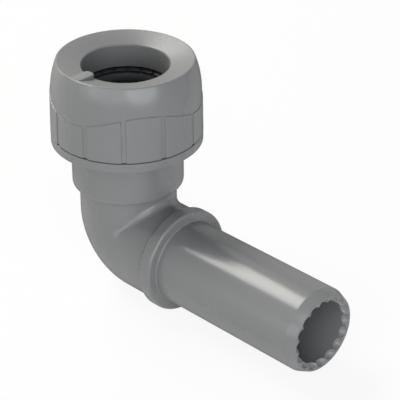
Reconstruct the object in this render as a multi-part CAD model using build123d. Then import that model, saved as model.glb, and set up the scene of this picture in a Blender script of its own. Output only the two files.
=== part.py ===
from build123d import *
from math import cos, pi, radians, sin, sqrt, tan
import os

# A push-fit spigot elbow for 22 mm pipe. Its plain spigot plugs into another fitting, and a pipe pushes
# into its own socket, where a toothed ring grips the pipe and an O-ring seals it.
# Lengths are millimetres. The spigot lies along +X and the socket stands along +Z. The model is drawn
# about the point where the two axes cross, then moved so that the origin is the middle of the collar's
# front face, where the spigot starts.

# Pipe and waterway
pipe_radius = 11.0              # the spigot has the pipe's own size
socket_clearance = 0.2          # radial room for a pipe in the socket
spigot_wall = 2.8

# Spigot and its stop collar
centre_to_collar = 21.6         # from the socket's axis to the collar's front face
spigot_length = 46.5            # from the collar's front face to the tip
tip_bevel_length = 2.6
tip_bevel_depth = 1.0
tip_bevel_blend = 0.8           # radius that eases the tube into the bevel
tip_edge_round = 0.15
collar_lip = 1.05               # how far the collar stands out of the barrel
collar_width = 3.6
collar_front_round = 0.7
collar_back_round = 0.9
collar_root_fillet = 0.35

# Flutes let into the spigot's mouth, with ribs between them
flute_count = 16
flute_depth = 1.35              # along the spigot
flute_rim = 0.35                # wall left outside the flutes at the tip
flute_floor_round = 1.1
flute_corner_round = 0.55
rib_width = 0.7                 # at the ribs' inner edges
mouth_chamfer = 0.3             # on the ribs' corners

# Barrel and bend
barrel_wall = 4.4
bend_radius = 8.3               # of the centre line, less than the barrel's radius
throat_radius = 2.2             # fillet in the crease on the inside of the bend
throat_overcut = 0.02           # lets the fillet's ball bite into the barrel, so the faces cross cleanly
throat_half_sweep = 75.0        # degrees that the ball rolls, either side of the bend's plane

# Neck and flange, upwards from the spigot's axis
neck_step = 1.85                # how far the neck stands out of the barrel
neck_bottom = 15.45
neck_length = 12.55
neck_round = 1.2
shoulder_fillet = 0.5
stop_floor = 1.55               # from the neck's bottom to the face that stops the pipe
flange_thickness = 2.4
flange_round = 0.25

# Nose inside the cap, with its snap bead
nose_height = 11.6
nose_wall = 1.4
bead_height = 0.4
bead_length = 2.2
bead_middle = 5.4               # above the flange

# O-ring, spacer washer and grab ring, stacked in the nose
seal_width = 3.0
seal_height = 3.3
seal_clearance = 0.05
spacer_thickness = 1.0
spacer_ledge = 0.95             # ledge in the nose that carries the spacer
spacer_clearance = 0.05
spacer_bore_clearance = 0.3     # radial, to the pipe
grab_thickness = 0.4
grab_overhang = 0.6             # rim that lies on the nose's top
grab_clearance = 0.1
tooth_count = 20
tooth_length = 1.5              # in plan, from the rim to the pipe
tooth_angle = 33.0              # down from level
tooth_gap = 0.7
tooth_gap_reach = 0.2           # how far the gaps run into the rim

# Cap
cap_clearance = 0.1             # radial, to the nose and its bead
cap_gap = 0.35                  # dark line between the flange and the cap
cap_wall = 2.65
skirt_height = 10.95            # from the cap's bottom to where the dome starts
skirt_draft = 0.95              # degrees
lip_depth = 6.25                # guide bore above the grab ring
dish_depth = 1.5                # from the rim down to the mouth
face_width = 6.3                # from the mouth out to the rim
rim_round = 0.4
mouth_round = 0.45
lug_width = 3.2
lug_setback = 0.15              # of its inner end from the guide bore
lug_drop = 0.05                 # of its flat top below the rim
lug_round = 1.3
lug_angle = -90.0

# Grip pads on the cap's skirt, under one wavy top edge
pad_count = 12
pad_height = 0.22
pad_groove = 1.1
wave_count = 3
wave_middle = 10.15             # above the cap's bottom
wave_swing = 1.95               # either side of the middle
wave_peak_angle = -30.0
wave_points_per_swell = 12
flange_inset = 0.05             # of the flange's edge behind the pads

# Sizes that follow from those above
bore_radius = pipe_radius - spigot_wall
barrel_radius = bore_radius + barrel_wall
collar_radius = barrel_radius + collar_lip
collar_back = centre_to_collar - collar_width
tip = centre_to_collar + spigot_length
socket_radius = pipe_radius + socket_clearance
neck_radius = barrel_radius + neck_step
stop_height = neck_bottom + stop_floor
flange_bottom = neck_bottom + neck_length
flange_top = flange_bottom + flange_thickness
nose_top = flange_top + nose_height
chamber_radius = pipe_radius + seal_width + seal_clearance
ledge_radius = chamber_radius + spacer_ledge
ledge_height = nose_top - spacer_thickness
chamber_floor = ledge_height - seal_height - 2 * seal_clearance
nose_radius = ledge_radius + nose_wall
cavity_radius = nose_radius + cap_clearance
cap_bottom = flange_top + cap_gap
dome_start = cap_bottom + skirt_height
lip_bottom = nose_top + grab_thickness + grab_clearance
mouth_height = lip_bottom + lip_depth
rim_height = mouth_height + dish_depth
rim_radius = socket_radius + face_width
skirt_slope = tan(radians(skirt_draft))
skirt_top_radius = cavity_radius + cap_wall
skirt_bottom_radius = skirt_top_radius + skirt_height * skirt_slope
flange_radius = skirt_bottom_radius + pad_height - flange_inset
tooth_slope = tan(radians(tooth_angle))
tooth_root = pipe_radius + tooth_length
spare = 1.0                     # how far a cutter runs past the face that it leaves by


def rounded(face, corners):
    """A flat outline with some corners rounded; each corner is a point and a radius."""
    for point, radius in corners:
        face = fillet(face.vertices().sort_by_distance(point)[0], radius)
    return face


def turned_about_socket(face):
    """Turns an outline of radius and height about the socket's axis."""
    return revolve(Plane.XZ * face, Axis.Z)


def turned_about_spigot(face):
    """Turns an outline of length and radius about the spigot's axis."""
    return revolve(Plane.XZ * face, Axis.X)


def outline(*points):
    """A closed flat outline with straight sides."""
    return make_face(Polyline(*points, close=True))


def bead_points(radius, grow, clearance):
    """Snap bead on an upright wall, from bottom to top: a sloped rise, a flat and a sloped fall."""
    middle = flange_top + bead_middle
    half = bead_length / 2 + clearance
    crest = half - grow
    return [
        (radius, middle - half),
        (radius + grow, middle - crest),
        (radius + grow, middle + crest),
        (radius, middle + half),
    ]


def riser():
    """The upright outside of the body: barrel, neck, flange and nose."""
    profile = outline(
        (0, bend_radius),
        (barrel_radius, bend_radius),
        (barrel_radius, neck_bottom),
        (neck_radius, neck_bottom),
        (neck_radius, flange_bottom),
        (flange_radius, flange_bottom),
        (flange_radius, flange_top),
        (nose_radius, flange_top),
        *bead_points(nose_radius, bead_height, 0),
        (nose_radius, nose_top),
        (0, nose_top),
    )
    return turned_about_socket(rounded(profile, [
        ((barrel_radius, neck_bottom), min(shoulder_fillet, 0.3 * neck_step)),
        ((neck_radius, neck_bottom), min(neck_round, 0.65 * neck_step)),
        ((neck_radius, flange_bottom), shoulder_fillet),
        ((flange_radius, flange_bottom), flange_round),
    ]))


def run():
    """The level outside of the body: barrel, stop collar and spigot with its bevelled tip."""
    bevel_start = tip - tip_bevel_length
    tip_radius = pipe_radius - tip_bevel_depth
    profile = outline(
        (bend_radius, 0),
        (bend_radius, barrel_radius),
        (collar_back, barrel_radius),
        (collar_back, collar_radius),
        (centre_to_collar, collar_radius),
        (centre_to_collar, pipe_radius),
        (bevel_start, pipe_radius),
        (tip, tip_radius),
        (tip, 0),
    )
    return turned_about_spigot(rounded(profile, [
        ((collar_back, collar_radius), min(collar_back_round, 0.9 * collar_lip)),
        ((centre_to_collar, collar_radius), collar_front_round),
        ((centre_to_collar, pipe_radius), collar_root_fillet),
        ((bevel_start, pipe_radius), tip_bevel_blend),
        ((tip, tip_radius), tip_edge_round),
    ]))


def quarter_turn(radius):
    """Turns a circle that lies across the riser through the bend, to lie across the run.

    Where the bend's axis cuts the circle, only the part beyond the axis is turned."""
    section = Rot(0, 0, 180) * Circle(radius)
    if radius > bend_radius:
        half_chord = sqrt(radius ** 2 - bend_radius ** 2)
        chord = Line((bend_radius, half_chord), (bend_radius, -half_chord))
        far_arc = ThreePointArc((bend_radius, -half_chord), (-radius, 0), (bend_radius, half_chord))
        section = make_face(chord + far_arc)
    bend_axis = Axis((bend_radius, 0, bend_radius), (0, 1, 0))
    return revolve(Pos(0, 0, bend_radius) * section, bend_axis, -90)


def throat():
    """Fillet in the crease where riser and run meet: a web, hollowed by a ball that rolls along both."""
    reach = barrel_radius + throat_radius
    spread = reach / barrel_radius
    start = bend_radius - throat_radius
    wedge = outline(
        (start, start * spread),
        (barrel_radius, reach),
        (reach, reach),
        (reach, barrel_radius),
        (start * spread, start),
    )
    web = extrude(Plane.XZ * wedge, reach, both=True)
    web = web & Cylinder(reach, 4 * reach) & Rot(0, 90, 0) * Cylinder(reach, 4 * reach)
    crease_plane = Plane((0, 0, 0), x_dir=(1, 0, 1), z_dir=(1, 0, -1))
    crease = EllipticalCenterArc(
        (0, 0), sqrt(2) * reach, reach, start_angle=-throat_half_sweep, arc_size=2 * throat_half_sweep
    )
    path = crease_plane * crease
    ball = Plane(path @ 0, z_dir=path % 0) * Circle(throat_radius + throat_overcut)
    return web - sweep(ball, path)


def socket_bore():
    """Cutter for the stepped socket, from the bend up: waterway, pipe stop, seal chamber and spacer's ledge."""
    return turned_about_socket(outline(
        (0, bend_radius),
        (bore_radius, bend_radius),
        (bore_radius, stop_height),
        (socket_radius, stop_height),
        (socket_radius, chamber_floor),
        (chamber_radius, chamber_floor),
        (chamber_radius, ledge_height),
        (ledge_radius, ledge_height),
        (ledge_radius, nose_top + spare),
        (0, nose_top + spare),
    ))


def spigot_bore():
    """Cutter for the spigot's bore, from the bend out to its chamfered mouth."""
    return turned_about_spigot(outline(
        (bend_radius, 0),
        (bend_radius, bore_radius),
        (tip - mouth_chamfer, bore_radius),
        (tip + spare, bore_radius + mouth_chamfer + spare),
        (tip + spare, 0),
    ))


def mouth_flutes():
    """Cutters for the flutes: round-cornered pockets let into the mouth, which leave ribs between them."""
    outer = pipe_radius - tip_bevel_depth - flute_rim
    inner = bore_radius - spare
    floor = tip - flute_depth
    width = 2 * (bore_radius + mouth_chamfer) * sin(pi / flute_count) - rib_width
    side = outline((floor, inner), (floor, outer), (tip + spare, outer), (tip + spare, inner))
    side = rounded(side, [((floor, outer), flute_floor_round)])
    block = extrude(Plane.XZ * side, width / 2, both=True)
    corners = []
    for edge in block.edges():
        middle = edge.center()
        on_side = abs(middle.Y) > width / 4
        if on_side and middle.X < tip + spare / 2 and middle.Z > inner + spare / 4:
            corners.append(edge)
    cutter = fillet(corners, flute_corner_round)
    return [Rot(360 * step / flute_count, 0, 0) * cutter for step in range(flute_count)]


def elbow_body():
    """The moulded elbow, in one piece from the nose to the spigot's tip."""
    outside = riser() + run() + quarter_turn(barrel_radius) + throat()
    return outside - socket_bore() - quarter_turn(bore_radius) - spigot_bore() - mouth_flutes()


def cap_shell():
    """The cap without its pads: skirt, dome, dished face and guide bore, hollow for the nose."""
    dome = TangentArc((skirt_top_radius, dome_start), (rim_radius, rim_height), tangent=(0, 1))
    up_to_dome = Polyline(
        (socket_radius, lip_bottom),
        (cavity_radius, lip_bottom),
        *reversed(bead_points(cavity_radius, bead_height, cap_clearance)),
        (cavity_radius, cap_bottom),
        (skirt_bottom_radius, cap_bottom),
        (skirt_top_radius, dome_start),
    )
    face_and_bore = Polyline(
        (rim_radius, rim_height),
        (socket_radius, mouth_height),
        (socket_radius, lip_bottom),
    )
    profile = make_face(up_to_dome + dome + face_and_bore)
    return turned_about_socket(rounded(profile, [
        ((rim_radius, rim_height), rim_round),
        ((socket_radius, mouth_height), mouth_round),
    ]))


def wave_edge(radius):
    """The pads' wavy top edge, drawn on an upright cylinder."""
    count = wave_count * wave_points_per_swell
    points = []
    for step in range(count):
        angle = 2 * pi * step / count
        swell = cos(wave_count * (angle - radians(wave_peak_angle)))
        height = cap_bottom + wave_middle + wave_swing * swell
        points.append((radius * cos(angle), radius * sin(angle), height))
    return Spline(*points, periodic=True)


def grip_pads():
    """The raised pads: a thin drafted ring, cut off along the wave and parted by upright grooves."""
    top = cap_bottom + wave_middle + wave_swing + spare
    bottom_radius = skirt_bottom_radius + pad_height
    top_radius = bottom_radius - (top - cap_bottom) * skirt_slope
    root_radius = skirt_top_radius - cap_wall / 2
    ring = turned_about_socket(outline(
        (root_radius, cap_bottom),
        (bottom_radius, cap_bottom),
        (top_radius, top),
        (root_radius, top),
    ))
    wave = Face.make_surface_from_curves(wave_edge(root_radius - spare), wave_edge(bottom_radius + spare))
    above_wave = extrude(wave, 2 * wave_swing + 2 * spare, dir=(0, 0, 1))
    pitch = 360 / pad_count
    depth = 2 * (bottom_radius - root_radius)
    tall = 2 * (top - cap_bottom)
    grooves = [
        place * Box(depth + 2 * spare, pad_groove, tall)
        for place in PolarLocations(bottom_radius, pad_count, start_angle=pitch / 2)
    ]
    return ring - above_wave - [Pos(0, 0, cap_bottom) * groove for groove in grooves]


def cap_lug():
    """Flat-topped lug that lies across the dished face, from the rim to the guide bore."""
    inner = socket_radius + lug_setback
    outer = rim_radius - rim_round
    plan = Pos((inner + outer) / 2, 0) * Rectangle(outer - inner, lug_width)
    plan = fillet(plan.vertices().sort_by(Axis.X)[:2], min(lug_round, 0.45 * lug_width))
    bottom = mouth_height - mouth_round
    height = rim_height - lug_drop - bottom
    return Rot(0, 0, lug_angle) * Pos(0, 0, bottom) * extrude(plan, height)


def retaining_cap():
    """The moulded cap that snaps over the nose and holds the rings in."""
    return cap_shell() + grip_pads() + cap_lug()


def o_ring():
    """Rubber ring, drawn squeezed to the shape that it has round a pipe."""
    middle = pipe_radius + seal_width / 2
    height = chamber_floor + seal_clearance + seal_height / 2
    return turned_about_socket(Pos(middle, height) * Ellipse(seal_width / 2, seal_height / 2))


def spacer_washer():
    """Washer that keeps the teeth off the O-ring, coned to back them up."""
    inner = pipe_radius + spacer_bore_clearance
    outer = ledge_radius - spacer_clearance
    cone_top = tooth_root + grab_clearance / tooth_slope
    cone_foot = nose_top - (cone_top - inner) * tooth_slope
    return turned_about_socket(outline(
        (inner, ledge_height),
        (outer, ledge_height),
        (outer, nose_top),
        (cone_top, nose_top),
        (inner, cone_foot),
    ))


def grab_ring():
    """Spring-steel ring whose teeth slope down to the pipe, drawn as a pipe leaves them."""
    rim = ledge_radius + grab_overhang
    top = nose_top + grab_thickness
    bend_in = grab_thickness * tan(radians(tooth_angle) / 2)
    tip_low = nose_top - tooth_length * tooth_slope
    tip_high = top - (tooth_length - bend_in) * tooth_slope
    ring = turned_about_socket(outline(
        (pipe_radius, tip_low),
        (tooth_root, nose_top),
        (rim, nose_top),
        (rim, top),
        (tooth_root - bend_in, top),
        (pipe_radius, tip_high),
    ))
    gap_end = tooth_root + tooth_gap_reach
    gap_height = top - tip_low + 2 * spare
    from_axis = (Align.MIN, Align.CENTER, Align.MIN)
    gap = Pos(0, 0, tip_low - spare) * Box(gap_end, tooth_gap, gap_height, align=from_axis)
    return ring - [Rot(0, 0, 360 * step / tooth_count) * gap for step in range(tooth_count)]


def write_parts():
    """Moves each piece to the collar's face and writes it to a file of its own."""
    os.makedirs("parts", exist_ok=True)
    for make in (elbow_body, retaining_cap, o_ring, spacer_washer, grab_ring):
        piece = Pos(-centre_to_collar, 0, 0) * make()
        export_step(piece, f"parts/{make.__name__}.step")


write_parts()
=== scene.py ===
from math import acos, ceil, cos, pi, radians, sin, sqrt, tan

import bmesh
import bpy
import numpy as np
from bpy.props import FloatProperty, FloatVectorProperty, IntProperty, PointerProperty
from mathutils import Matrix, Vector


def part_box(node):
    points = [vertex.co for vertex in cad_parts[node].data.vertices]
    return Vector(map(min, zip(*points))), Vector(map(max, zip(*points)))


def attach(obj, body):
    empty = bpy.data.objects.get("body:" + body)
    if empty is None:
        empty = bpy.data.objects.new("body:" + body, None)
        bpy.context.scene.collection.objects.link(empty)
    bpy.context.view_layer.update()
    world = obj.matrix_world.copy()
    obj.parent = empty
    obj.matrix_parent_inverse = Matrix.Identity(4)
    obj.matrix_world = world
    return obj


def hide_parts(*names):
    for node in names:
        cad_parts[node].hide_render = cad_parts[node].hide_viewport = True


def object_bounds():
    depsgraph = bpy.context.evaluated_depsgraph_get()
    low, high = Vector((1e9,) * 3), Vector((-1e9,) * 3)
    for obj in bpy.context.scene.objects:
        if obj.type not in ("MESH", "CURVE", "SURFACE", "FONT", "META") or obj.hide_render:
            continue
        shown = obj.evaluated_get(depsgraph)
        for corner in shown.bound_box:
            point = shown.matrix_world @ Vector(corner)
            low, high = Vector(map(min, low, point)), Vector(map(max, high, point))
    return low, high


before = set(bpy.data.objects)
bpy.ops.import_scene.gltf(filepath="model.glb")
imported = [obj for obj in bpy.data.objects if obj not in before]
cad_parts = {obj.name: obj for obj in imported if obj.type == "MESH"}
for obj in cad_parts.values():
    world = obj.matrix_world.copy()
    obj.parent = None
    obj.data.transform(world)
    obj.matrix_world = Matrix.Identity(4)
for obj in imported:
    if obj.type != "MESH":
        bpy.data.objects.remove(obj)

bl_info = {
    "name": "Push-fit spigot elbow",
    "version": (1, 0, 0),
    "blender": (4, 5, 0),
    "location": "View3D > Sidebar > Elbow",
    "description": "Builds the dressed pieces of a grey push-fit spigot elbow, and its studio",
    "category": "Object",
}

CAD_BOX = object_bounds()
COLUMNS = 320          # round every turned surface; a multiple of the flutes round the spigot's mouth
ARC_STEP = radians(9)  # between two points of a rounding
BEND_STEPS = 28        # from ring to ring through the bend
MOUTH_STEPS = 12       # down a flute of the spigot's mouth
DOME_STEPS = 25        # up the cap's dome
LUG_STEPS = 5          # round the lug's top edge
SEAL_STEPS = 64        # round the O-ring's section
PAD_GRID = (36, 32)    # points across and up a grip pad
TOOTH_GRID = (10, 12)  # points across and along a tooth
WELD = 1e-8            # points closer than this, in metres, are one
FLOOR_HALF = 3.0       # half the floor's width, in metres
MM = 0.001


# Properties

def length(name, description, default_mm):
    """A size in the sidebar, given in millimetres and kept in metres."""
    return FloatProperty(
        name=name,
        description=description,
        default=default_mm * MM,
        subtype="DISTANCE",
        unit="LENGTH",
        precision=5,
    )


def angle(name, description, degrees):
    """An angle in the sidebar, given in degrees and kept in radians."""
    return FloatProperty(
        name=name, description=description, default=radians(degrees), subtype="ANGLE", unit="ROTATION"
    )


def count(name, description, default, lowest, highest):
    """A whole number in the sidebar."""
    return IntProperty(name=name, description=description, default=default, min=lowest, max=highest)


def colour(name, description, default):
    """A surface colour in the sidebar, as linear red, green and blue."""
    return FloatVectorProperty(
        name=name, description=description, default=default, subtype="COLOR", size=3, min=0.0, max=1.0
    )


def share(name, description, default, highest=1.0):
    """A plain number in the sidebar, from nought up."""
    return FloatProperty(
        name=name, description=description, default=default, min=0.0, max=highest, subtype="FACTOR"
    )


class ElbowBodySizes(bpy.types.PropertyGroup):
    """Sizes of the moulded elbow, from the nose inside the cap to the spigot's tip."""

    centre_to_collar: length("Centre to collar", "From the socket's axis to the collar's front face", 21.6)
    spigot_radius: length("Spigot radius", "Outside radius of the spigot, which is the pipe's own", 11.0)
    spigot_tip: length(
        "Spigot tip", "From the collar's front face to the spigot's tip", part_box("elbow_body")[1].x / MM
    )
    bore_radius: length("Bore radius", "Radius of the waterway", 8.2)
    bevel_length: length("Bevel length", "Length of the bevel at the spigot's tip", 2.6)
    bevel_depth: length("Bevel depth", "Depth of the bevel at the spigot's tip", 1.0)
    bevel_blend: length("Bevel blend", "Radius that eases the tube into the bevel", 0.8)
    tip_edge: length("Tip edge", "Rounding of the spigot's outer end", 0.15)
    flute_count: count("Flutes", "Flutes round the spigot's mouth", 16, 4, 32)
    flute_radius: length("Flute radius", "Radius of a flute, which is a ball-shaped scoop", 1.85)
    flute_reach: length("Flute reach", "Radius on the spigot's end face that the flutes reach out to", 9.6)
    flute_depth: length("Flute depth", "How far down the bore the flutes go", 1.25)
    collar_radius: length("Collar radius", "Outside radius of the stop collar", 13.65)
    collar_width: length("Collar width", "Width of the stop collar", 3.6)
    collar_front_round: length("Collar front round", "Rounding of the collar's front edge", 0.7)
    collar_back_round: length("Collar back round", "Rounding of the collar's back edge", 0.9)
    collar_root: length("Collar root", "Fillet between the collar and the spigot", 0.35)
    barrel_radius: length("Barrel radius", "Outside radius of the bend", 12.6)
    bend_radius: length("Bend radius", "Radius of the bend's centre line", 8.3)
    throat_radius: length("Throat radius", "Fillet in the crease on the inside of the bend", 2.2)
    neck_radius: length("Neck radius", "Outside radius of the neck", 14.45)
    neck_bottom: length("Neck bottom", "Height of the neck's bottom", 15.45)
    neck_round: length("Neck round", "Rounding of the neck's bottom edge", 1.2)
    shoulder_fillet: length("Shoulder fillet", "Fillet above the barrel and under the flange", 0.5)
    pipe_stop: length("Pipe stop", "Height of the face that stops the pipe", 17.0)
    socket_radius: length("Socket radius", "Radius of the pipe's socket", 11.2)
    flange_radius: length("Flange radius", "Outside radius of the flange", 19.5)
    flange_bottom: length("Flange bottom", "Height of the flange's lower face", 28.0)
    flange_top: length("Flange top", "Height of the flange's upper face", 30.4)
    nose_radius: length("Nose radius", "Outside radius of the nose inside the cap", 16.4)
    nose_top: length("Nose top", "Height of the nose's top", 42.0)
    bead_height: length("Bead height", "How far the snap bead stands out of the nose", 0.4)
    bead_length: length("Bead length", "Length of the snap bead up the nose", 2.2)
    bead_middle: length("Bead middle", "Height of the middle of the snap bead", 35.8)
    chamber_radius: length("Chamber radius", "Radius of the seal's chamber", 14.05)
    chamber_floor: length("Chamber floor", "Height of the seal's seat", 37.6)
    ledge_radius: length("Ledge radius", "Radius of the spacer's seat", 15.0)
    ledge_height: length("Ledge height", "Height of the spacer's seat", 41.0)
    edge: length("Edge", "Rounding of the moulding's small edges", 0.2)


class CapSizes(bpy.types.PropertyGroup):
    """Sizes of the domed cap and its grip pads."""

    bottom: length("Bottom", "Height of the cap's bottom", 30.75)
    cavity_radius: length("Cavity radius", "Radius of the room for the nose", 16.5)
    groove_depth: length("Snap groove depth", "Depth of the groove for the snap bead", 0.4)
    groove_length: length("Snap groove length", "Length of the groove for the snap bead", 2.4)
    lip_bottom: length("Lip bottom", "Height of the guide bore's lower end", 42.5)
    mouth_height: length("Mouth height", "Height of the guide bore's mouth", 48.75)
    mouth_round: length("Mouth round", "Rounding of the mouth", 0.45)
    rim_height: length("Rim height", "Height of the rim", 50.25)
    rim_radius: length("Rim radius", "Radius of the rim", 17.5)
    rim_round: length("Rim round", "Rounding of the rim", 0.4)
    skirt_top_radius: length("Skirt top radius", "Radius of the skirt where the dome starts", 19.15)
    dome_start: length("Dome start", "Height where the dome starts", 41.7)
    draft: angle("Draft", "Draft of the skirt and the pads", 0.95)
    lug_width: length("Lug width", "Width of the lug on the cap's face", 3.2)
    lug_inner: length("Lug inner end", "Radius of the lug's rounded inner end", 11.35)
    lug_outer: length("Lug outer end", "Radius where the lug runs into the rim", 17.1)
    lug_top: length("Lug top", "Height of the lug's flat top", 50.2)
    lug_round: length("Lug round", "Rounding of the lug's inner corners in plan", 1.3)
    lug_angle: angle("Lug angle", "Where the lug lies round the cap", -90.0)
    pad_count: count("Pads", "Grip pads round the skirt", 12, 3, 36)
    pad_height: length("Pad height", "How far the pads stand out of the skirt", 0.22)
    pad_groove: length("Pad groove", "Width of the grooves between the pads", 1.1)
    pad_edge: length("Pad edge", "Rounding of the pads' edges", 0.08)
    pad_sink: length("Pad sink", "How deep the pads' backs lie in the skirt", 0.4)
    wave_count: count("Waves", "Swells of the pads' top edge", 3, 1, 12)
    wave_middle: length("Wave middle", "Mean height of the pads' top edge", 40.9)
    wave_swing: length("Wave swing", "Swing of the pads' top edge, either side of its mean", 1.95)
    wave_peak: angle("Wave peak", "Where the pads' top edge is highest", -30.0)


class RingSizes(bpy.types.PropertyGroup):
    """Sizes of the rings that hold and seal the pipe."""

    pipe_radius: length("Pipe radius", "Outside radius of the pipe", 11.0)
    seal_width: length("Seal width", "Width of the squeezed O-ring", 3.0)
    seal_height: length("Seal height", "Height of the squeezed O-ring", 3.3)
    seal_middle: length("Seal middle", "Height of the O-ring's middle", 39.3)
    spacer_bore: length("Spacer bore", "Bore radius of the spacer washer", 11.3)
    spacer_radius: length("Spacer radius", "Outside radius of the spacer washer", 14.95)
    spacer_bottom: length("Spacer bottom", "Height of the spacer's lower face", 41.0)
    spacer_cone: length("Spacer cone", "Radius where the spacer's cone reaches its top", 12.654)
    spacer_inner_edge: length("Spacer inner edge", "Rounding of the spacer's bore and cone", 0.04)
    spacer_outer_edge: length("Spacer outer edge", "Rounding of the spacer's outside", 0.12)
    ring_bottom: length("Grab ring seat", "Height of the grab ring's seat", 42.0)
    ring_thickness: length("Grab ring thickness", "Thickness of the grab ring's steel", 0.4)
    ring_radius: length("Grab ring radius", "Outside radius of the grab ring", 15.6)
    ring_edge: length("Grab ring edge", "Rounding of the grab ring's rim", 0.05)
    tooth_count: count("Teeth", "Teeth of the grab ring", 20, 6, 60)
    tooth_root: length("Tooth root", "Radius where the teeth turn down", 12.5)
    tooth_gap: length("Tooth gap", "Width of the gaps between the teeth", 0.7)
    gap_reach: length("Gap reach", "How far the gaps run into the rim", 0.2)
    tooth_shave: length("Tooth shave", "How far a tooth's faces lie inside the rim's", 0.01)
    tooth_angle: angle("Tooth angle", "How far the teeth slope down from level", 33.0)


class Finishes(bpy.types.PropertyGroup):
    """Colours and sheen of the materials."""

    plastic: colour("Plastic", "Moulded grey of the body and the cap", (0.169, 0.171, 0.173))
    plastic_roughness: share("Plastic roughness", "Mean roughness of the moulded grey", 0.21)
    plastic_gloss: share("Plastic gloss", "Specular level of the moulded grey", 0.36)
    rubber: colour("Rubber", "Black of the O-ring", (0.062, 0.064, 0.070))
    rubber_gloss: share("Rubber gloss", "Specular level of the O-ring", 0.15)
    spacer: colour("Spacer", "Dark grey of the spacer washer", (0.030, 0.030, 0.032))
    spacer_gloss: share("Spacer gloss", "Specular level of the spacer washer", 0.1)
    # painted shade: the steel colour is far darker than bare spring steel, standing in for the shade in the
    # grab ring's slot
    steel: colour("Steel", "Spring steel of the grab ring", (0.040, 0.040, 0.043))


class Studio(bpy.types.PropertyGroup):
    """Camera, lamps and ground."""

    camera_place: FloatVectorProperty(
        name="Camera",
        description="Where the camera stands",
        default=(0.26835, -0.26360, 0.23520),
        subtype="TRANSLATION",
    )
    camera_aim: FloatVectorProperty(
        name="Aim",
        description="Which way the camera looks",
        default=(-0.6124, 0.6124, -0.5),
        subtype="DIRECTION",
    )
    lens: FloatProperty(
        name="Lens", description="Focal length in millimetres", default=155.5, min=20.0, max=300.0
    )
    lamp_distance: length("Lamp distance", "How far the lamps stand from the elbow", 900.0)
    world_strength: share("World", "Strength of the even light from all round", 0.08, 4.0)


# Node graphs

class Graph:
    """Adds nodes to one node tree, and links or sets their sockets."""

    def __init__(self, tree):
        self.tree = tree

    def add(self, kind, settings=None, sockets=None):
        """A node of one kind, with its settings first and then its sockets' values or links."""
        node = self.tree.nodes.new(kind)
        for name, value in (settings or {}).items():
            setattr(node, name, value)
        for name, value in (sockets or {}).items():
            self.feed(node.inputs[name], value)
        return node

    def feed(self, socket, value):
        """Links a wire to a socket, or sets a plain value on it."""
        if isinstance(value, Wire):
            self.tree.links.new(value.socket, socket)
        else:
            socket.default_value = value

    def wire(self, kind, settings=None, sockets=None, output=0):
        """One output of a new node, ready for an expression."""
        return Wire(self, self.add(kind, settings, sockets).outputs[output])


class Wire:
    """One number on its way through a node tree; sums with it add Math nodes."""

    def __init__(self, graph, socket):
        self.graph = graph
        self.socket = socket

    def maths(self, operation, *others):
        """A Math node on this number and the others."""
        values = dict(enumerate((self, *others)))
        return self.graph.wire("ShaderNodeMath", {"operation": operation}, values)

    def __add__(self, other):
        return self.maths("ADD", other)

    def __radd__(self, other):
        return self.maths("ADD", other)

    def __sub__(self, other):
        return self.maths("SUBTRACT", other)

    def __rsub__(self, other):
        return self.maths("MULTIPLY_ADD", -1.0, other)

    def __mul__(self, other):
        return self.maths("MULTIPLY", other)

    def __rmul__(self, other):
        return self.maths("MULTIPLY", other)

    def __truediv__(self, other):
        return self.maths("DIVIDE", other)

    def __rtruediv__(self, other):
        return self.maths("POWER", -1.0) * other

    def __pow__(self, other):
        return self.maths("POWER", other)

    def __abs__(self):
        return self.maths("ABSOLUTE")

    def sine(self):
        return self.maths("SINE")

    def cosine(self):
        return self.maths("COSINE")

    def root(self):
        return self.maths("SQRT")

    def least(self, other):
        return self.maths("MINIMUM", other)

    def most(self, other):
        return self.maths("MAXIMUM", other)


# Materials

def new_material(name):
    """An empty material, its graph and its principled shader."""
    material = bpy.data.materials.new(name)
    material.use_nodes = True
    graph = Graph(material.node_tree)
    material.node_tree.nodes.clear()
    shader = graph.add("ShaderNodeBsdfPrincipled")
    graph.add("ShaderNodeOutputMaterial", None, {"Surface": Wire(graph, shader.outputs[0])})
    return material, graph, shader


def place_on_object(graph):
    """The surface point, in the object's own metres."""
    return graph.wire("ShaderNodeTexCoord", output="Object")


def noise(graph, place, size, detail=2.0, roughness=0.5):
    """Cloudy noise about 0.5, with lumps of one size in metres."""
    sockets = {"Vector": place, "Scale": 1.0 / size, "Detail": detail, "Roughness": roughness}
    return graph.wire("ShaderNodeTexNoise", None, sockets)


def tinted(graph, amount, low, high):
    """A colour between two, by an amount from nought to one."""
    factor, first, second, result = 0, 6, 7, 2
    sockets = {factor: amount, first: (*low, 1.0), second: (*high, 1.0)}
    return graph.wire("ShaderNodeMix", {"data_type": "RGBA"}, sockets, result)


def bumped(graph, height, distance, strength):
    """A surface normal that follows a height."""
    return graph.wire("ShaderNodeBump", None, {"Height": height, "Distance": distance, "Strength": strength})


def moulded_plastic(finish):
    """Satin grey moulding with faint flow clouds and a fine grain, duller where it slants away."""
    material, graph, shader = new_material("moulded_plastic")
    place = place_on_object(graph)
    clouds = noise(graph, place, 16 * MM, 3.0)
    patches = noise(graph, place, 3.5 * MM, 3.0)
    grain = noise(graph, place, 0.22 * MM, 2.0, 0.6)
    base = np.array(finish.plastic)
    shade = tinted(graph, clouds * 0.7 + patches * 0.3, base * 0.95, base * 1.05)
    graph.feed(shader.inputs["Base Color"], shade)
    slant = graph.wire("ShaderNodeLayerWeight", None, {"Blend": 0.5}, "Facing")
    sheen = grain * 0.08 + patches * 0.06 + slant ** 3.0 * 0.8
    graph.feed(shader.inputs["Roughness"], sheen + (finish.plastic_roughness - 0.07))
    graph.feed(shader.inputs["Normal"], bumped(graph, grain, 0.004 * MM, 0.35))
    shader.inputs["Specular IOR Level"].default_value = finish.plastic_gloss
    return material


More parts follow.
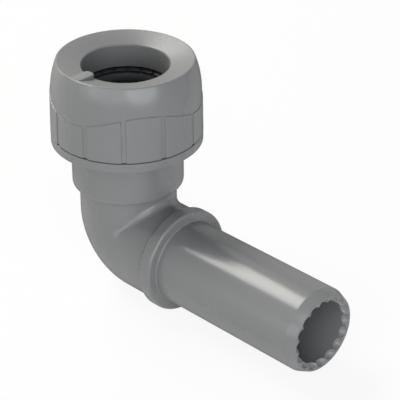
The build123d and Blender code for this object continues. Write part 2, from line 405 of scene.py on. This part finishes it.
def lubricated_rubber(finish):
    """Black rubber, wiped with lubricant."""
    material, graph, shader = new_material("lubricated_rubber")
    place = place_on_object(graph)
    smear = noise(graph, place, 2.5 * MM, 3.0)
    grain = noise(graph, place, 0.15 * MM, 2.0)
    base = np.array(finish.rubber)
    graph.feed(shader.inputs["Base Color"], tinted(graph, smear, base * 0.8, base * 1.3))
    graph.feed(shader.inputs["Roughness"], smear * 0.20 + 0.42)
    graph.feed(shader.inputs["Normal"], bumped(graph, grain, 0.006 * MM, 0.4))
    shader.inputs["Specular IOR Level"].default_value = finish.rubber_gloss
    return material


def washer_plastic(finish):
    """Dark moulded washer."""
    material, graph, shader = new_material("washer_plastic")
    place = place_on_object(graph)
    clouds = noise(graph, place, 4 * MM, 3.0)
    grain = noise(graph, place, 0.2 * MM, 2.0)
    base = np.array(finish.spacer)
    graph.feed(shader.inputs["Base Color"], tinted(graph, clouds, base * 0.85, base * 1.15))
    graph.feed(shader.inputs["Roughness"], grain * 0.12 + 0.60)
    graph.feed(shader.inputs["Normal"], bumped(graph, grain, 0.004 * MM, 0.4))
    shader.inputs["Specular IOR Level"].default_value = finish.spacer_gloss
    return material


def spring_steel(finish):
    """Steel strip with painted shade: its colour is darkened in place of the shade in the grab ring's slot,
    with rolling lines across it and a little heat tint.
    """
    material, graph, shader = new_material("spring_steel")
    place = place_on_object(graph)
    along = graph.wire("ShaderNodeMapping", None, {"Vector": place, "Scale": (1.0, 18.0, 1.0)})
    lines = noise(graph, along, 0.9 * MM, 3.0)
    tint = noise(graph, place, 5 * MM, 2.0)
    # painted shade: this dark base colour stands in for the shade in the slot that the grab ring sits in
    base = np.array(finish.steel)
    graph.feed(shader.inputs["Base Color"], tinted(graph, tint, base * 0.85, base * (1.25, 1.15, 1.05)))
    graph.feed(shader.inputs["Roughness"], lines * 0.2 + 0.45)
    graph.feed(shader.inputs["Normal"], bumped(graph, lines, 0.003 * MM, 0.3))
    shader.inputs["Metallic"].default_value = 1.0
    return material


# Mesh helpers

def unit(vector):
    """A vector of length one."""
    return vector / np.linalg.norm(vector)


def rounded_path(corners, closed=False):
    """Points along straight runs; a corner is a place and, where it is rounded, its radius."""
    places = [np.array(corner[:2], float) for corner in corners]
    points = []
    for step, corner in enumerate(corners):
        here = places[step]
        at_end = not closed and step in (0, len(corners) - 1)
        if len(corner) == 2 or at_end:
            points.append(here)
            continue
        radius = corner[2]
        back = unit(places[step - 1] - here)
        on = unit(places[(step + 1) % len(places)] - here)
        half = acos(np.clip(back @ on, -1, 1)) / 2
        centre = here + unit(back + on) * radius / sin(half)
        first = here + back * radius / tan(half) - centre
        last = here + on * radius / tan(half) - centre
        sweep = pi - 2 * half
        steps = max(2, ceil(sweep / ARC_STEP))
        for part in np.linspace(0, 1, steps + 1):
            swung = first * sin((1 - part) * sweep) + last * sin(part * sweep)
            points.append(centre + swung / sin(sweep))
    return points


def column_angles():
    """Angles of the columns of a turned surface."""
    return np.arange(COLUMNS) * 2 * pi / COLUMNS


def socket_ring(body, radius, height):
    """A ring about the socket's axis; its first point is on the spigot's side."""
    turn = column_angles()
    along = radius * np.cos(turn) - body.centre_to_collar
    return np.stack((along, radius * np.sin(turn), np.full(COLUMNS, height)), axis=1)


def socket_rings(body, points):
    """Rings about the socket's axis, one for each radius and height."""
    return [socket_ring(body, radius, height) for radius, height in points]


def spigot_ring(along, radius):
    """A ring about the spigot's axis, from the top round; both sizes may differ from column to column."""
    turn = column_angles()
    return np.stack((np.zeros(COLUMNS) + along, radius * np.sin(turn), radius * np.cos(turn)), axis=1)


def ring_mesh(name, rings):
    """A closed skin over rings that follow each other and come back to the first."""
    points = np.concatenate(rings)
    faces = []
    for row in range(len(rings)):
        here = row * COLUMNS
        there = (row + 1) % len(rings) * COLUMNS
        for column in range(COLUMNS):
            beside = (column + 1) % COLUMNS
            faces.append((here + column, there + column, there + beside, here + beside))
    mesh = bpy.data.meshes.new(name)
    mesh.from_pydata(points.tolist(), [], faces)
    return mesh


def tidy_mesh(mesh, sharp_degrees=30.0):
    """Faces outwards and smooth, with creases kept sharp."""
    work = bmesh.new()
    work.from_mesh(mesh)
    bmesh.ops.remove_doubles(work, verts=work.verts, dist=WELD)
    bmesh.ops.recalc_face_normals(work, faces=work.faces)
    work.to_mesh(mesh)
    work.free()
    mesh.shade_smooth()
    mesh.set_sharp_from_angle(angle=radians(sharp_degrees))


def joined(name, meshes):
    """One mesh of several closed shells."""
    work = bmesh.new()
    for mesh in meshes:
        work.from_mesh(mesh)
    whole = bpy.data.meshes.new(name)
    work.to_mesh(whole)
    work.free()
    for mesh in meshes:
        bpy.data.meshes.remove(mesh)
    return whole


def show_piece(name, mesh, material, node):
    """Tidies a mesh and puts it in the scene in place of its CAD node."""
    tidy_mesh(mesh)
    mesh.materials.clear()
    mesh.materials.append(material)
    piece = bpy.data.objects.new(name, mesh)
    bpy.context.scene.collection.objects.link(piece)
    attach(piece, "root")
    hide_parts(node)


def material_for(maker):
    """The material that a function makes and names after itself, made on first use."""
    return bpy.data.materials.get(maker.__name__) or maker(bpy.context.scene.elbow_finishes)


# Geometry node trees

def node_tree_mesh(tree, values):
    """The plain mesh that a geometry node tree makes with these input values."""
    holder = bpy.data.objects.new(tree.name, bpy.data.meshes.new(tree.name))
    bpy.context.scene.collection.objects.link(holder)
    modifier = holder.modifiers.new(tree.name, "NODES")
    modifier.node_group = tree
    for item in tree.interface.items_tree:
        if item.in_out == "INPUT" and item.name in values:
            modifier[item.identifier] = values[item.name]
    seen = bpy.context.evaluated_depsgraph_get()
    mesh = bpy.data.meshes.new_from_object(holder.evaluated_get(seen))
    empty = holder.data
    bpy.data.objects.remove(holder)
    bpy.data.meshes.remove(empty)
    return mesh


def repeat_tree(name, inputs):
    """A tree that repeats one closed block, and the wires of its inputs and of the block's own place.

    The block is a unit cube, cut into a grid; each copy keeps its number in the wire called copy."""
    tree = bpy.data.node_groups.new(name, "GeometryNodeTree")
    kinds = {int: "NodeSocketInt", float: "NodeSocketFloat", bpy.types.Material: "NodeSocketMaterial"}
    for label, kind in inputs.items():
        tree.interface.new_socket(name=label, in_out="INPUT", socket_type=kinds[kind])
    tree.interface.new_socket(name="Geometry", in_out="OUTPUT", socket_type="NodeSocketGeometry")
    graph = Graph(tree)
    source = graph.add("NodeGroupInput")
    wires = {label: Wire(graph, source.outputs[label]) for label in inputs}
    cuts = {"Vertices X": wires["Across"], "Vertices Y": 2, "Vertices Z": wires["Up"]}
    block = graph.wire("GeometryNodeMeshCube", None, {"Size": (1.0, 1.0, 1.0), **cuts})
    points = graph.wire("GeometryNodePoints", None, {"Count": wires["Copies"]})
    copies = graph.wire("GeometryNodeInstanceOnPoints", None, {"Points": points, "Instance": block})
    number = graph.wire("GeometryNodeInputIndex")
    numbered = graph.add(
        "GeometryNodeStoreNamedAttribute",
        {"data_type": "INT", "domain": "INSTANCE"},
        {"Geometry": copies, "Name": "copy", "Value": number},
    )
    loose = graph.wire("GeometryNodeRealizeInstances", None, {"Geometry": Wire(graph, numbered.outputs[0])})
    copy = graph.wire("GeometryNodeInputNamedAttribute", {"data_type": "INT"}, {"Name": "copy"})
    spot = graph.add("ShaderNodeSeparateXYZ", None, {"Vector": graph.wire("GeometryNodeInputPosition")})
    wires["copy"] = copy
    wires["across"], wires["through"], wires["up"] = (Wire(graph, output) for output in spot.outputs)
    return tree, graph, loose, wires


def finish_tree(tree, graph, loose, radius, turn, height, shift, material):
    """Moves the block's points to a radius, an angle and a height about the socket's axis."""
    place = graph.wire(
        "ShaderNodeCombineXYZ",
        None,
        {"X": radius * turn.cosine() - shift, "Y": radius * turn.sine(), "Z": height},
    )
    moved = graph.wire("GeometryNodeSetPosition", None, {"Geometry": loose, "Position": place})
    dressed = graph.wire("GeometryNodeSetMaterial", None, {"Geometry": moved, "Material": material})
    graph.add("NodeGroupOutput", None, {"Geometry": dressed})
    return tree


def quarter_round(distance, width):
    """How far an edge has risen at a distance from its foot: a quarter circle, then level."""
    short = 1.0 - (distance / width).least(1.0).most(0.0)
    return (1.0 - short * short).root()


def pads_tree():
    """Grip pads: one block repeated round the skirt, its top cut to the wave, its edges rounded down."""
    names = (
        "Pad half angle", "Bottom", "Bottom radius", "Draft slope", "Skirt top radius", "Dome start",
        "Dome radius", "Wave middle", "Wave swing", "Wave peak", "Edge", "Sink", "Shift",
    )
    inputs = {"Copies": int, "Across": int, "Up": int, "Waves": int, "Material": bpy.types.Material}
    inputs.update({name: float for name in names})
    tree, graph, loose, wires = repeat_tree("grip_pads", inputs)
    side = (wires["across"] * pi).sine()
    turn = wires["copy"] * (2 * pi) / wires["Copies"] + side * wires["Pad half angle"]
    wave = ((turn - wires["Wave peak"]) * wires["Waves"]).cosine()
    edge_height = wires["Wave middle"] + wires["Wave swing"] * wave
    share_up = ((wires["up"] + 0.5) * (pi / 2)).sine()
    height = wires["Bottom"] + (edge_height - wires["Bottom"]) * share_up
    above = (height - wires["Dome start"]).most(0.0)
    below = (wires["Dome start"] - height).most(0.0)
    dome_drop = wires["Dome radius"] - (wires["Dome radius"] ** 2.0 - above * above).root()
    skin = wires["Skirt top radius"] + below * wires["Draft slope"] - dome_drop
    crest = wires["Bottom radius"] - (height - wires["Bottom"]) * wires["Draft slope"]
    from_side = (1.0 - abs(side)) * wires["Pad half angle"] * crest
    from_top = edge_height - height
    rise = quarter_round(from_side, wires["Edge"]).least(quarter_round(from_top, wires["Edge"]))
    tuck = wires["Sink"] * 0.05  # keeps the foot of a pad's edge under the skirt's skin
    front = skin + (crest - skin) * rise - tuck
    is_front = wires["through"] + 0.5
    radius = (skin - wires["Sink"]) * (1.0 - is_front) + front * is_front
    return finish_tree(tree, graph, loose, radius, turn, height, wires["Shift"], wires["Material"])


def teeth_tree():
    """Grab ring teeth: one block repeated round the ring, level at its root and sloping down to the pipe."""
    names = ("Root", "Tip", "Reach", "Gap", "Slope", "Middle", "Half thickness", "Shift")
    inputs = {"Copies": int, "Across": int, "Up": int, "Material": bpy.types.Material}
    inputs.update({name: float for name in names})
    tree, graph, loose, wires = repeat_tree("grab_teeth", inputs)
    share_in = wires["up"] + 0.5
    outer = wires["Root"] + wires["Reach"]
    radius = outer + (wires["Tip"] - outer) * share_in
    half_angle = pi / wires["Copies"]
    width = 2.0 * half_angle - wires["Gap"] / radius
    turn = wires["copy"] * 2.0 * half_angle + wires["across"] * width
    drop = (wires["Root"] - radius).most(0.0) * wires["Slope"]
    height = wires["Middle"] - drop + wires["through"] * 2.0 * wires["Half thickness"]
    return finish_tree(tree, graph, loose, radius, turn, height, wires["Shift"], wires["Material"])


# Elbow body

def bend_rows(body, radius, throat):
    """Rings through the bend, from the riser to the run.

    Each column follows the riser down, an arc, and the run out. Where the two barrels crease, the arc is the
    touch of a ball that rolls along both; elsewhere it turns about the bend's own axis."""
    turn = column_angles()
    side = radius * np.sin(turn)
    inward = radius * np.cos(turn)
    bend = body.bend_radius
    reach = radius + throat
    creased = (reach * np.cos(turn) > bend) & (throat > 0)
    ball = np.stack((reach * np.cos(turn), reach * np.sin(turn), reach * np.cos(turn)), axis=1)
    to_riser = np.stack((-np.cos(turn), -np.sin(turn), np.zeros(COLUMNS)), axis=1)
    to_run = np.stack((np.zeros(COLUMNS), -np.sin(turn), -np.cos(turn)), axis=1)
    sweep = np.arccos(np.clip(np.sin(turn) ** 2, 0, 1 - 1e-12))
    rows = []
    for part in np.linspace(0, 1, BEND_STEPS + 1):
        swing = part * pi / 2
        plain = np.stack(
            (bend - (bend - inward) * cos(swing), side, bend - (bend - inward) * sin(swing)), axis=1
        )
        lean = to_riser * (np.sin((1 - part) * sweep) / np.sin(sweep))[:, None]
        lean += to_run * (np.sin(part * sweep) / np.sin(sweep))[:, None]
        row = np.where(creased[:, None], ball + throat * lean, plain)
        row[:, 0] -= body.centre_to_collar
        rows.append(row)
    return rows


def mouth_rows(body):
    """Rings down the ball-shaped flutes of the mouth, from the spigot's end face to the bore.

    A flute's ball passes through its head on the end face and its foot in the bore. Each column cuts the ball
    in a circle, and the rings go down those circles."""
    head = np.array((0.0, body.flute_reach))
    foot = np.array((-body.flute_depth, body.bore_radius))
    chord = foot - head
    inward = unit(np.array((-chord[1], chord[0])))
    lift, out = (head + foot) / 2 + inward * sqrt(body.flute_radius ** 2 - (chord @ chord) / 4)
    pitch = 2 * pi / body.flute_count
    off = (column_angles() + pitch / 2) % pitch - pitch / 2
    circle = np.sqrt(body.flute_radius ** 2 - (out * np.sin(off)) ** 2)
    first = np.arcsin(lift / circle)
    last = np.maximum(np.arccos((body.bore_radius - out * np.cos(off)) / circle), first)
    rows = []
    for part in np.linspace(0, 1, MOUTH_STEPS + 1):
        swing = first + part * (last - first)
        along = body.spigot_tip + lift - circle * np.sin(swing)
        rows.append(spigot_ring(along, out * np.cos(off) + circle * np.cos(swing)))
    return rows


def elbow_body_mesh(body):
    """The whole moulding as one skin: down the outside, round the spigot's tip and back up the waterway."""
    edge = body.edge
    low = body.bead_middle - body.bead_length / 2
    high = body.bead_middle + body.bead_length / 2
    crest = body.nose_radius + body.bead_height
    outside = rounded_path([
        (body.ledge_radius, body.nose_top),
        (body.nose_radius, body.nose_top, edge),
        (body.nose_radius, high),
        (crest, high - body.bead_height),
        (crest, low + body.bead_height),
        (body.nose_radius, low),
        (body.nose_radius, body.flange_top),
        (body.flange_radius, body.flange_top, edge),
        (body.flange_radius, body.flange_bottom, edge),
        (body.neck_radius, body.flange_bottom, body.shoulder_fillet),
        (body.neck_radius, body.neck_bottom, body.neck_round),
        (body.barrel_radius, body.neck_bottom, body.shoulder_fillet),
        (body.barrel_radius, body.bend_radius),
    ])[:-1]
    collar_back = -body.collar_width
    tip = body.spigot_tip
    run = rounded_path([
        (collar_back - body.collar_width, body.barrel_radius),
        (collar_back, body.barrel_radius, edge),
        (collar_back, body.collar_radius, body.collar_back_round - edge),
        (0.0, body.collar_radius, body.collar_front_round),
        (0.0, body.spigot_radius, body.collar_root),
        (tip - body.bevel_length, body.spigot_radius, body.bevel_blend),
        (tip, body.spigot_radius - body.bevel_depth, body.tip_edge),
        (tip, body.bore_radius),
    ])[1:-1]
    waterway = rounded_path([
        (body.bore_radius, body.bend_radius),
        (body.bore_radius, body.pipe_stop, edge),
        (body.socket_radius, body.pipe_stop),
        (body.socket_radius, body.chamber_floor, edge),
        (body.chamber_radius, body.chamber_floor),
        (body.chamber_radius, body.ledge_height),
        (body.ledge_radius, body.ledge_height),
        (body.ledge_radius, body.nose_top),
    ])[1:-1]
    rings = socket_rings(body, outside)
    rings += bend_rows(body, body.barrel_radius, body.throat_radius)
    rings += [spigot_ring(along, radius) for along, radius in run]
    rings += mouth_rows(body)
    rings += bend_rows(body, body.bore_radius, 0.0)[::-1]
    rings += socket_rings(body, waterway)
    return ring_mesh("elbow_body_skin", rings)


class ELBOW_OT_body(bpy.types.Operator):
    """Builds the moulded elbow"""

    bl_idname = "elbow.body"
    bl_label = "Elbow body"

    def execute(self, context):
        mesh = elbow_body_mesh(context.scene.elbow_body_sizes)
        show_piece("moulded_elbow", mesh, material_for(moulded_plastic), "elbow_body")
        return {"FINISHED"}


# Cap

def cap_shell_mesh(body, cap):
    """The cap without its lug and pads, turned from one outline, with its dome radius and lower radius."""
    rise = cap.rim_height - cap.dome_start
    run_in = cap.skirt_top_radius - cap.rim_radius
    dome = (rise ** 2 + run_in ** 2) / (2 * run_in)
    skirt_bottom = cap.skirt_top_radius + (cap.dome_start - cap.bottom) * tan(cap.draft)
    low = body.bead_middle - cap.groove_length / 2
    high = body.bead_middle + cap.groove_length / 2
    groove = cap.cavity_radius + cap.groove_depth
    corners = [
        (body.socket_radius, cap.lip_bottom, body.edge),
        (cap.cavity_radius, cap.lip_bottom),
        (cap.cavity_radius, high),
        (groove, high - cap.groove_depth),
        (groove, low + cap.groove_depth),
        (cap.cavity_radius, low),
        (cap.cavity_radius, cap.bottom, body.edge),
        (skirt_bottom, cap.bottom, body.edge),
        (cap.skirt_top_radius, cap.dome_start),
    ]
    top = np.arcsin(rise / dome)
    for swing in np.linspace(0, top, DOME_STEPS + 1)[1:-1]:
        radius = cap.skirt_top_radius - dome * (1 - cos(swing))
        corners.append((radius, cap.dome_start + dome * sin(swing)))
    corners += [
        (cap.rim_radius, cap.rim_height, cap.rim_round),
        (body.socket_radius, cap.mouth_height, cap.mouth_round),
    ]
    rings = socket_rings(body, rounded_path(corners, closed=True))
    return ring_mesh("cap_shell", rings), dome, skirt_bottom


def lug_outline(cap, inset):
    """The lug in plan, drawn along +X, with all its sides moved in."""
    inner = cap.lug_inner + inset
    half = cap.lug_width / 2 - inset
    corner = cap.lug_round - inset
    outer = cap.lug_outer
    corners = [(outer, -half), (outer, half), (inner, half, corner), (inner, -half, corner)]
    return rounded_path(corners, closed=True)


def lug_mesh(body, cap):
    """The flat-topped lug across the cap's face, with a rounded top edge."""
    edge = body.edge
    levels = [(cap.mouth_height - cap.mouth_round, 0.0)]
    for swing in np.linspace(0, pi / 2, LUG_STEPS + 1):
        levels.append((cap.lug_top - edge * (1 - sin(swing)), edge * (1 - cos(swing))))
    work = bmesh.new()
    rows = []
    for height, inset in levels:
        row = []
        for along, across in lug_outline(cap, inset):
            x = along * cos(cap.lug_angle) - across * sin(cap.lug_angle) - body.centre_to_collar
            y = along * sin(cap.lug_angle) + across * cos(cap.lug_angle)
            row.append(work.verts.new((x, y, height)))
        rows.append(row)
    for under, over in zip(rows, rows[1:]):
        for step in range(len(under)):
            beside = (step + 1) % len(under)
            work.faces.new((under[step], under[beside], over[beside], over[step]))
    work.faces.new(rows[-1])
    work.faces.new(rows[0][::-1])
    mesh = bpy.data.meshes.new("cap_lug")
    work.to_mesh(mesh)
    work.free()
    return mesh


class ELBOW_OT_cap(bpy.types.Operator):
    """Builds the domed cap with its lug and grip pads"""

    bl_idname = "elbow.cap"
    bl_label = "Retaining cap"

    def execute(self, context):
        body = context.scene.elbow_body_sizes
        cap = context.scene.elbow_cap_sizes
        plastic = material_for(moulded_plastic)
        shell, dome, skirt_bottom = cap_shell_mesh(body, cap)
        pads = node_tree_mesh(pads_tree(), {
            "Copies": cap.pad_count,
            "Across": PAD_GRID[0],
            "Up": PAD_GRID[1],
            "Waves": cap.wave_count,
            "Material": plastic,
            "Pad half angle": pi / cap.pad_count - cap.pad_groove / 2 / skirt_bottom,
            "Bottom": cap.bottom,
            "Bottom radius": skirt_bottom + cap.pad_height,
            "Draft slope": tan(cap.draft),
            "Skirt top radius": cap.skirt_top_radius,
            "Dome start": cap.dome_start,
            "Dome radius": dome,
            "Wave middle": cap.wave_middle,
            "Wave swing": cap.wave_swing,
            "Wave peak": cap.wave_peak,
            "Edge": cap.pad_edge,
            "Sink": cap.pad_sink,
            "Shift": body.centre_to_collar,
        })
        mesh = joined("retaining_cap_skin", [shell, lug_mesh(body, cap), pads])
        show_piece("domed_cap", mesh, plastic, "retaining_cap")
        return {"FINISHED"}


# Rings inside the cap

class ELBOW_OT_seal(bpy.types.Operator):
    """Builds the squeezed O-ring"""

    bl_idname = "elbow.seal"
    bl_label = "O-ring"

    def execute(self, context):
        body = context.scene.elbow_body_sizes
        sizes = context.scene.elbow_ring_sizes
        middle = sizes.pipe_radius + sizes.seal_width / 2
        rings = []
        for swing in np.linspace(0, 2 * pi, SEAL_STEPS + 1)[:-1]:
            radius = middle + sizes.seal_width / 2 * cos(swing)
            height = sizes.seal_middle + sizes.seal_height / 2 * sin(swing)
            rings.append(socket_ring(body, radius, height))
        mesh = ring_mesh("o_ring_skin", rings)
        show_piece("rubber_o_ring", mesh, material_for(lubricated_rubber), "o_ring")
        return {"FINISHED"}


class ELBOW_OT_spacer(bpy.types.Operator):
    """Builds the spacer washer under the grab ring"""

    bl_idname = "elbow.spacer"
    bl_label = "Spacer washer"

    def execute(self, context):
        body = context.scene.elbow_body_sizes
        sizes = context.scene.elbow_ring_sizes
        cone_foot = sizes.ring_bottom - (sizes.spacer_cone - sizes.spacer_bore) * tan(sizes.tooth_angle)
        points = rounded_path([
            (sizes.spacer_bore, sizes.spacer_bottom, sizes.spacer_inner_edge),
            (sizes.spacer_radius, sizes.spacer_bottom, sizes.spacer_outer_edge),
            (sizes.spacer_radius, sizes.ring_bottom, sizes.spacer_outer_edge),
            (sizes.spacer_cone, sizes.ring_bottom, sizes.spacer_inner_edge),
            (sizes.spacer_bore, cone_foot, sizes.spacer_inner_edge),
        ], closed=True)
        mesh = ring_mesh("spacer_skin", socket_rings(body, points))
        show_piece("spacer_ring", mesh, material_for(washer_plastic), "spacer_washer")
        return {"FINISHED"}


class ELBOW_OT_grab_ring(bpy.types.Operator):
    """Builds the toothed spring-steel ring"""

    bl_idname = "elbow.grab_ring"
    bl_label = "Grab ring"

    def execute(self, context):
        body = context.scene.elbow_body_sizes
        sizes = context.scene.elbow_ring_sizes
        steel = material_for(spring_steel)
        top = sizes.ring_bottom + sizes.ring_thickness
        inner = sizes.tooth_root + sizes.gap_reach
        points = rounded_path([
            (inner, sizes.ring_bottom, sizes.ring_edge),
            (sizes.ring_radius, sizes.ring_bottom, sizes.ring_edge),
            (sizes.ring_radius, top, sizes.ring_edge),
            (inner, top, sizes.ring_edge),
        ], closed=True)
        rim = ring_mesh("grab_rim", socket_rings(body, points))
        teeth = node_tree_mesh(teeth_tree(), {
            "Copies": sizes.tooth_count,
            "Across": TOOTH_GRID[0],
            "Up": TOOTH_GRID[1],
            "Material": steel,
            "Root": sizes.tooth_root,
            "Tip": sizes.pipe_radius,
            "Reach": 2 * sizes.gap_reach,
            "Gap": sizes.tooth_gap,
            "Slope": tan(sizes.tooth_angle),
            "Middle": sizes.ring_bottom + sizes.ring_thickness / 2,
            "Half thickness": sizes.ring_thickness / 2 - sizes.tooth_shave,
            "Shift": body.centre_to_collar,
        })
        mesh = joined("grab_ring_skin", [rim, teeth])
        show_piece("toothed_grab_ring", mesh, steel, "grab_ring")
        return {"FINISHED"}


# Stage

SOFTBOXES = {
    # Direction round and up in degrees, width and height in metres, watts, colour
    "key_softbox": (188.5, 55, 0.55, 0.34, 6.2, (1.0, 0.985, 0.93)),
    "front_softbox": (342, 12, 0.80, 0.50, 4.3, (0.93, 0.97, 1.0)),
    "left_softbox": (195, 9, 0.50, 0.20, 0.9, (1.0, 0.97, 0.90)),
    "rim_softbox": (192, 22, 0.50, 0.06, 0.6, (1.0, 0.98, 0.93)),
    "low_left_softbox": (258, 10, 0.60, 0.35, 0.5, (1.0, 0.99, 0.92)),
    "low_front_softbox": (292, 13, 1.30, 0.46, 2.8, (1.0, 1.0, 1.0)),
    "high_front_softbox": (312, 44, 0.60, 0.50, 2.0, (0.93, 0.97, 1.0)),
    "back_softbox": (152, 39, 0.24, 0.32, 1.15, (1.0, 0.98, 0.93)),
    "rear_softbox": (110, 20, 0.60, 0.40, 0.04, (1.0, 1.0, 1.0)),
}


def add_softbox(name, middle, distance, azimuth, elevation, width, height, power, tint):
    """A soft oval lamp that stands in one direction from the elbow and faces it."""
    lamp = bpy.data.lights.new(name, "AREA")
    lamp.shape = "ELLIPSE"
    lamp.size = width
    lamp.size_y = height
    lamp.energy = power
    lamp.color = tint
    round_way, up = radians(azimuth), radians(elevation)
    way = Vector((cos(round_way) * cos(up), sin(round_way) * cos(up), sin(up)))
    stand = bpy.data.objects.new(name, lamp)
    stand.location = middle + way * distance
    stand.rotation_euler = (-way).to_track_quat("-Z", "Y").to_euler()
    bpy.context.scene.collection.objects.link(stand)


def background_seen(graph):
    """One where a ray sees the white ground itself: from the camera, in a reflection or through glass."""
    paths = graph.add("ShaderNodeLightPath")
    names = ("Is Camera Ray", "Is Glossy Ray", "Is Transmission Ray")
    camera, glossy, glass = (Wire(graph, paths.outputs[name]) for name in names)
    return camera.most(glossy).most(glass)


def pale_floor():
    """White to the camera but for the object's soft shadow, and a pale matt floor to the light."""
    material = bpy.data.materials.new("pale_floor")
    material.use_nodes = True
    graph = Graph(material.node_tree)
    material.node_tree.nodes.clear()
    matt = graph.wire("ShaderNodeBsdfDiffuse", None, {"Color": (0.8, 0.8, 0.8, 1.0)})
    white = graph.wire("ShaderNodeEmission", None, {"Color": (1.0, 1.0, 1.0, 1.0), "Strength": 1.0})
    mix = graph.add("ShaderNodeMixShader", None, {0: background_seen(graph) * 0.9, 1: matt, 2: white})
    graph.add("ShaderNodeOutputMaterial", None, {"Surface": Wire(graph, mix.outputs[0])})
    return material


def add_camera(studio):
    """The photo's camera, which the scene looks through."""
    scene = bpy.context.scene
    camera = bpy.data.cameras.new("photo_camera")
    camera.lens = studio.lens
    camera.sensor_width = 36.0
    camera.clip_start = 0.01
    camera.clip_end = 20.0
    stand = bpy.data.objects.new("photo_camera", camera)
    stand.location = studio.camera_place
    stand.rotation_euler = Vector(studio.camera_aim).to_track_quat("-Z", "Y").to_euler()
    scene.collection.objects.link(stand)
    scene.camera = stand


def set_world(strength):
    """White where it is seen, and a weak even light to the object."""
    world = bpy.data.worlds.new("studio_world")
    world.use_nodes = True
    world.node_tree.nodes.clear()
    graph = Graph(world.node_tree)
    white = (1.0, 1.0, 1.0, 1.0)
    even = graph.wire("ShaderNodeBackground", None, {"Color": white, "Strength": strength})
    seen = graph.wire("ShaderNodeBackground", None, {"Color": white, "Strength": 1.0})
    mix = graph.add("ShaderNodeMixShader", None, {0: background_seen(graph), 1: even, 2: seen})
    graph.add("ShaderNodeOutputWorld", None, {"Surface": Wire(graph, mix.outputs[0])})
    bpy.context.scene.world = world


def add_floor():
    """A wide floor, just under the elbow."""
    low = CAD_BOX[0][2]
    half = FLOOR_HALF
    corners = [(-half, -half, low), (half, -half, low), (half, half, low), (-half, half, low)]
    mesh = bpy.data.meshes.new("floor")
    mesh.from_pydata(corners, [], [(0, 1, 2, 3)])
    mesh.materials.append(pale_floor())
    floor = bpy.data.objects.new("floor", mesh)
    bpy.context.scene.collection.objects.link(floor)


class ELBOW_OT_stage(bpy.types.Operator):
    """Sets the camera, the lamps, the white ground and the floor"""

    bl_idname = "elbow.stage"
    bl_label = "Studio"

    def execute(self, context):
        studio = context.scene.elbow_studio
        context.scene.view_settings.view_transform = "Standard"
        add_camera(studio)
        set_world(studio.world_strength)
        add_floor()
        middle = (Vector(CAD_BOX[0]) + Vector(CAD_BOX[1])) / 2
        for name, settings in SOFTBOXES.items():
            add_softbox(name, middle, studio.lamp_distance, *settings)
        return {"FINISHED"}


# Sidebar and registration

OPERATORS = (
    ELBOW_OT_body,
    ELBOW_OT_cap,
    ELBOW_OT_seal,
    ELBOW_OT_spacer,
    ELBOW_OT_grab_ring,
    ELBOW_OT_stage,
)
GROUPS = {
    "elbow_body_sizes": ElbowBodySizes,
    "elbow_cap_sizes": CapSizes,
    "elbow_ring_sizes": RingSizes,
    "elbow_finishes": Finishes,
    "elbow_studio": Studio,
}


class ELBOW_PT_sidebar(bpy.types.Panel):
    """Lists the elbow's pieces and their sizes"""

    bl_label = "Spigot elbow"
    bl_idname = "ELBOW_PT_sidebar"
    bl_space_type = "VIEW_3D"
    bl_region_type = "UI"
    bl_category = "Elbow"

    def draw(self, context):
        for operator in OPERATORS:
            self.layout.operator(operator.bl_idname)
        for name, group in GROUPS.items():
            box = self.layout.box()
            for label in group.__annotations__:
                box.prop(getattr(context.scene, name), label)


def register():
    """Makes the classes and the scene's properties known."""
    for thing in (*GROUPS.values(), *OPERATORS, ELBOW_PT_sidebar):
        bpy.utils.register_class(thing)
    for name, group in GROUPS.items():
        setattr(bpy.types.Scene, name, PointerProperty(type=group))


def unregister():
    """Takes the classes and the scene's properties back out."""
    for name in GROUPS:
        delattr(bpy.types.Scene, name)
    for thing in reversed((*GROUPS.values(), *OPERATORS, ELBOW_PT_sidebar)):
        bpy.utils.unregister_class(thing)


def main():
    """Builds every piece and the stage."""
    register()
    bpy.ops.elbow.body()
    bpy.ops.elbow.cap()
    bpy.ops.elbow.seal()
    bpy.ops.elbow.spacer()
    bpy.ops.elbow.grab_ring()
    bpy.ops.elbow.stage()


if __name__ == "__main__":
    main()
